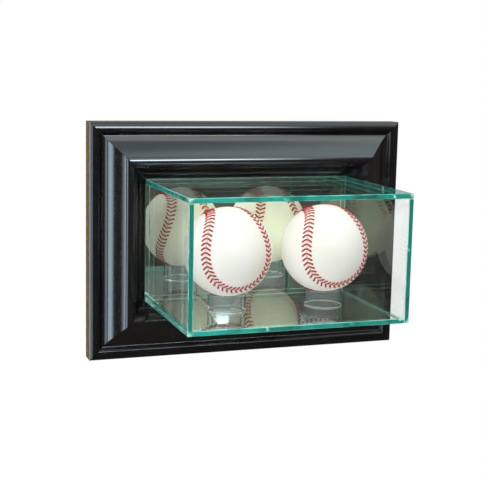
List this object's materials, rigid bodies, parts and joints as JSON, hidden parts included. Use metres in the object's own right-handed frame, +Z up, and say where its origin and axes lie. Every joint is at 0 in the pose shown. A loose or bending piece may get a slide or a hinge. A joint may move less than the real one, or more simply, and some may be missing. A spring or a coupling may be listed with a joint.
{
  "type": "baseball display case",
  "caption": "Wall-hung glass display box standing out of a scooped mitred picture frame, with a mirror back and clear risers that hold baseballs.",
  "frame": {"origin": "on the flat back of the top rail, at the middle of its length, 14.5 mm below the frame's top edge, level with the keyhole plates", "axes": "+X to the viewer's right along the top rail, +Y into the wall, +Z up"},
  "size_m": [0.2872, 0.1435, 0.2057],
  "materials": {
    "black_lacquered_wood": "satin black",
    "clear_glass": "polished, teal at the edges",
    "silvered_glass": "mirror",
    "clear_acrylic": "clear gloss",
    "clear_sealant": "clear satin",
    "hardboard": "matt",
    "zinc_plated_steel": "satin",
    "white_leather": "smooth",
    "red_thread": "waxed",
    "wound_yarn": "matt"
  },
  "bodies": {
    "case": {"frame_top_rail": "black_lacquered_wood", "frame_bottom_rail": "black_lacquered_wood", "frame_left_stile": "black_lacquered_wood", "frame_right_stile": "black_lacquered_wood", "v_nail_top_left_outer": "zinc_plated_steel", "v_nail_top_left_inner": "zinc_plated_steel", "v_nail_top_right_outer": "zinc_plated_steel", "v_nail_top_right_inner": "zinc_plated_steel", "v_nail_bottom_left_outer": "zinc_plated_steel", "v_nail_bottom_left_inner": "zinc_plated_steel", "v_nail_bottom_right_outer": "zinc_plated_steel", "v_nail_bottom_right_inner": "zinc_plated_steel", "glass_top_pane": "clear_glass", "glass_bottom_pane": "clear_glass", "glass_left_pane": "clear_glass", "glass_right_pane": "clear_glass", "glass_front_pane": "clear_glass", "glazing_bead": "clear_sealant", "turn_button_screw_top": "zinc_plated_steel", "turn_button_screw_right": "zinc_plated_steel", "turn_button_screw_bottom": "zinc_plated_steel", "turn_button_screw_left": "zinc_plated_steel", "keyhole_plate_left": "zinc_plated_steel", "keyhole_left_screw_left": "zinc_plated_steel", "keyhole_left_screw_right": "zinc_plated_steel", "keyhole_plate_right": "zinc_plated_steel", "keyhole_right_screw_left": "zinc_plated_steel", "keyhole_right_screw_right": "zinc_plated_steel", "riser_left": "clear_acrylic", "riser_right": "clear_acrylic"},
    "rear_panel": {"mirror_pane": "silvered_glass", "backing_board": "hardboard"},
    "top_button": {"turn_button_top": "zinc_plated_steel"},
    "right_button": {"turn_button_right": "zinc_plated_steel"},
    "bottom_button": {"turn_button_bottom": "zinc_plated_steel"},
    "left_button": {"turn_button_left": "zinc_plated_steel"},
    "ball_left": {"ball_left_core": "wound_yarn", "ball_left_cover_a": "white_leather", "ball_left_cover_b": "white_leather", "ball_left_stitches": "red_thread"},
    "ball_right": {"ball_right_core": "wound_yarn", "ball_right_cover_a": "white_leather", "ball_right_cover_b": "white_leather", "ball_right_stitches": "red_thread"}
  },
  "joints": [
    {"name": "rear_panel_slide", "type": "slide", "parent": "case", "child": "rear_panel", "axis": [0, 1, 0], "range_m": [0, 0.04]},
    {"name": "top_button_turn", "type": "hinge", "parent": "case", "child": "top_button", "pos_m": [-0.005, -0.00285, -0.0215], "axis": [0, 1, 0], "range_deg": [0, 90]},
    {"name": "right_button_turn", "type": "hinge", "parent": "case", "child": "right_button", "pos_m": [0.1076, -0.00285, -0.08334], "axis": [0, 1, 0], "range_deg": [0, 90]},
    {"name": "bottom_button_turn", "type": "hinge", "parent": "case", "child": "bottom_button", "pos_m": [0.005, -0.00285, -0.15519], "axis": [0, 1, 0], "range_deg": [0, 90]},
    {"name": "left_button_turn", "type": "hinge", "parent": "case", "child": "left_button", "pos_m": [-0.1076, -0.00285, -0.09334], "axis": [0, 1, 0], "range_deg": [0, 90]},
    {"name": "ball_left_lift", "type": "slide", "parent": "case", "child": "ball_left", "axis": [0, 0, 1], "range_m": [0, 0.011]},
    {"name": "ball_right_lift", "type": "slide", "parent": "case", "child": "ball_right", "axis": [0, 0, 1], "range_m": [0, 0.011]}
  ]
}
